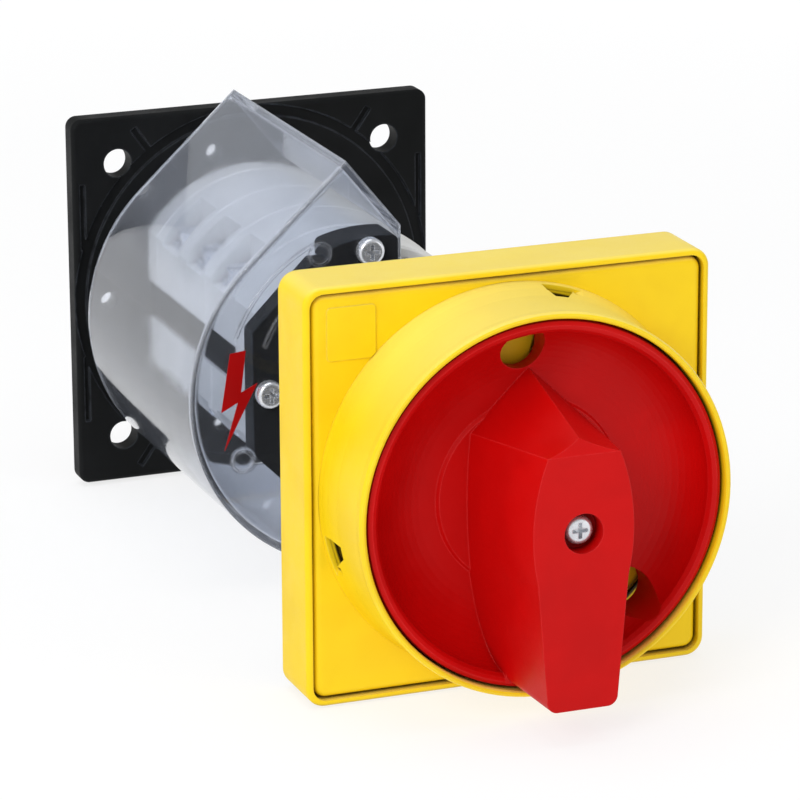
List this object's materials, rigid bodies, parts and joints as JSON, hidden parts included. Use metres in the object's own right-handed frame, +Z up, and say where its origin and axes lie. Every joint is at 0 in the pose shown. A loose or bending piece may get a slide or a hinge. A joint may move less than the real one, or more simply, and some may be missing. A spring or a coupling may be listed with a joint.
{
  "type": "rotary isolator switch",
  "caption": "Base-mounted rotary isolator with stacked contact stages, a clear terminal cover and a padlockable red turn handle on a square yellow door front.",
  "frame": {"origin": "centre of the base plate's rear face, on the shaft axis", "axes": "front towards -Y along the shaft, +X to the right and +Z up as seen from the front"},
  "size_m": [0.0896, 0.2035, 0.0957],
  "materials": {
    "black_plastic": "fine matt moulded black plastic",
    "cream_plastic": "satin cream thermoset moulding",
    "brass": "turned brass",
    "copper": "rolled copper strip",
    "silver_contact": "silver alloy contact tips",
    "zinc_steel": "bright zinc plated steel",
    "black_steel": "blackened steel",
    "steel_shaft": "zinc plated square bar",
    "brown_nylon": "brown glass-filled nylon",
    "spring_steel": "bright spring wire",
    "clear_plastic": "clear polycarbonate with a faint smoky blue tint",
    "flash_red": "printed signal red",
    "rubber_seal": "soft black rubber",
    "yellow_plastic": "satin signal yellow moulding",
    "red_plastic": "satin signal red moulding"
  },
  "bodies": {
    "switch_base": {"base_plate": "black_plastic", "carrier_screws": "zinc_steel", "contact_spring_1_left": "spring_steel", "contact_spring_1_right": "spring_steel", "contact_spring_2_left": "spring_steel", "contact_spring_2_right": "spring_steel", "contact_spring_3_left": "spring_steel", "contact_spring_3_right": "spring_steel", "contact_stage_1": "cream_plastic", "contact_stage_2": "cream_plastic", "contact_stage_3": "cream_plastic", "cover_carrier": "black_plastic", "cover_screws": "zinc_steel", "detent_housing": "cream_plastic", "detent_rollers": "steel_shaft", "detent_springs": "spring_steel", "fixed_contact_tips": "silver_contact", "fixed_contacts": "copper", "flash_mark": "flash_red", "rear_bush": "brass", "rear_housing": "cream_plastic", "side_strips": "black_plastic", "terminal_clamps": "zinc_steel", "terminal_cover": "clear_plastic", "terminal_screws": "zinc_steel", "tie_bolts": "zinc_steel"},
    "rotor": {"spindle": "steel_shaft", "star_wheel": "brown_nylon", "shaft_sleeve": "steel_shaft", "sleeve_screws": "black_steel", "extension_shaft": "steel_shaft", "cam_1": "brown_nylon", "cam_2": "brown_nylon", "cam_3": "brown_nylon"},
    "door_front": {"front_gasket": "rubber_seal", "front_frame": "yellow_plastic", "front_insert": "yellow_plastic", "lock_collar": "yellow_plastic", "hub_seal": "rubber_seal"},
    "handle_set": {"handle": "red_plastic", "handle_coupler": "black_plastic", "handle_screw": "zinc_steel"},
    "contact_1_left": {"contact_plunger_1_left": "brown_nylon", "contact_bridge_1_left": "copper", "bridge_tips_1_left": "silver_contact"},
    "contact_1_right": {"contact_plunger_1_right": "brown_nylon", "contact_bridge_1_right": "copper", "bridge_tips_1_right": "silver_contact"},
    "contact_2_left": {"contact_plunger_2_left": "brown_nylon", "contact_bridge_2_left": "copper", "bridge_tips_2_left": "silver_contact"},
    "contact_2_right": {"contact_plunger_2_right": "brown_nylon", "contact_bridge_2_right": "copper", "bridge_tips_2_right": "silver_contact"},
    "contact_3_left": {"contact_plunger_3_left": "brown_nylon", "contact_bridge_3_left": "copper", "bridge_tips_3_left": "silver_contact"},
    "contact_3_right": {"contact_plunger_3_right": "brown_nylon", "contact_bridge_3_right": "copper", "bridge_tips_3_right": "silver_contact"}
  },
  "joints": [
    {"name": "spindle_turn", "type": "hinge", "parent": "switch_base", "child": "rotor", "pos_m": [0, -0.05, 0], "axis": [0, 1, 0], "range_deg": [0, 90]},
    {"name": "door_pull", "type": "slide", "parent": "switch_base", "child": "door_front", "axis": [0, -1, 0], "range_m": [0, 0.03]},
    {"name": "handle_turn", "type": "hinge", "parent": "door_front", "child": "handle_set", "pos_m": [0, -0.17, 0], "axis": [0, 1, 0], "range_deg": [0, 90]},
    {"name": "contact_1_left_close", "type": "slide", "parent": "switch_base", "child": "contact_1_left", "axis": [1, 0, 0], "range_m": [0, 0.00255], "deforming": ["contact_spring_1_left"]},
    {"name": "contact_1_right_close", "type": "slide", "parent": "switch_base", "child": "contact_1_right", "axis": [-1, 0, 0], "range_m": [0, 0.00255], "deforming": ["contact_spring_1_right"]},
    {"name": "contact_2_left_close", "type": "slide", "parent": "switch_base", "child": "contact_2_left", "axis": [1, 0, 0], "range_m": [0, 0.00255], "deforming": ["contact_spring_2_left"]},
    {"name": "contact_2_right_close", "type": "slide", "parent": "switch_base", "child": "contact_2_right", "axis": [-1, 0, 0], "range_m": [0, 0.00255], "deforming": ["contact_spring_2_right"]},
    {"name": "contact_3_left_close", "type": "slide", "parent": "switch_base", "child": "contact_3_left", "axis": [1, 0, 0], "range_m": [0, 0.00255], "deforming": ["contact_spring_3_left"]},
    {"name": "contact_3_right_close", "type": "slide", "parent": "switch_base", "child": "contact_3_right", "axis": [-1, 0, 0], "range_m": [0, 0.00255], "deforming": ["contact_spring_3_right"]}
  ],
  "couplings": [
    {"joint": "spindle_turn", "follows": "handle_turn", "ratio": 1},
    {"joint": "contact_1_left_close", "follows": "handle_turn", "m_per_rad": 0.0016234},
    {"joint": "contact_1_right_close", "follows": "handle_turn", "m_per_rad": 0.0016234},
    {"joint": "contact_2_left_close", "follows": "handle_turn", "m_per_rad": 0.0016234},
    {"joint": "contact_2_right_close", "follows": "handle_turn", "m_per_rad": 0.0016234},
    {"joint": "contact_3_left_close", "follows": "handle_turn", "m_per_rad": 0.0016234},
    {"joint": "contact_3_right_close", "follows": "handle_turn", "m_per_rad": 0.0016234}
  ]
}
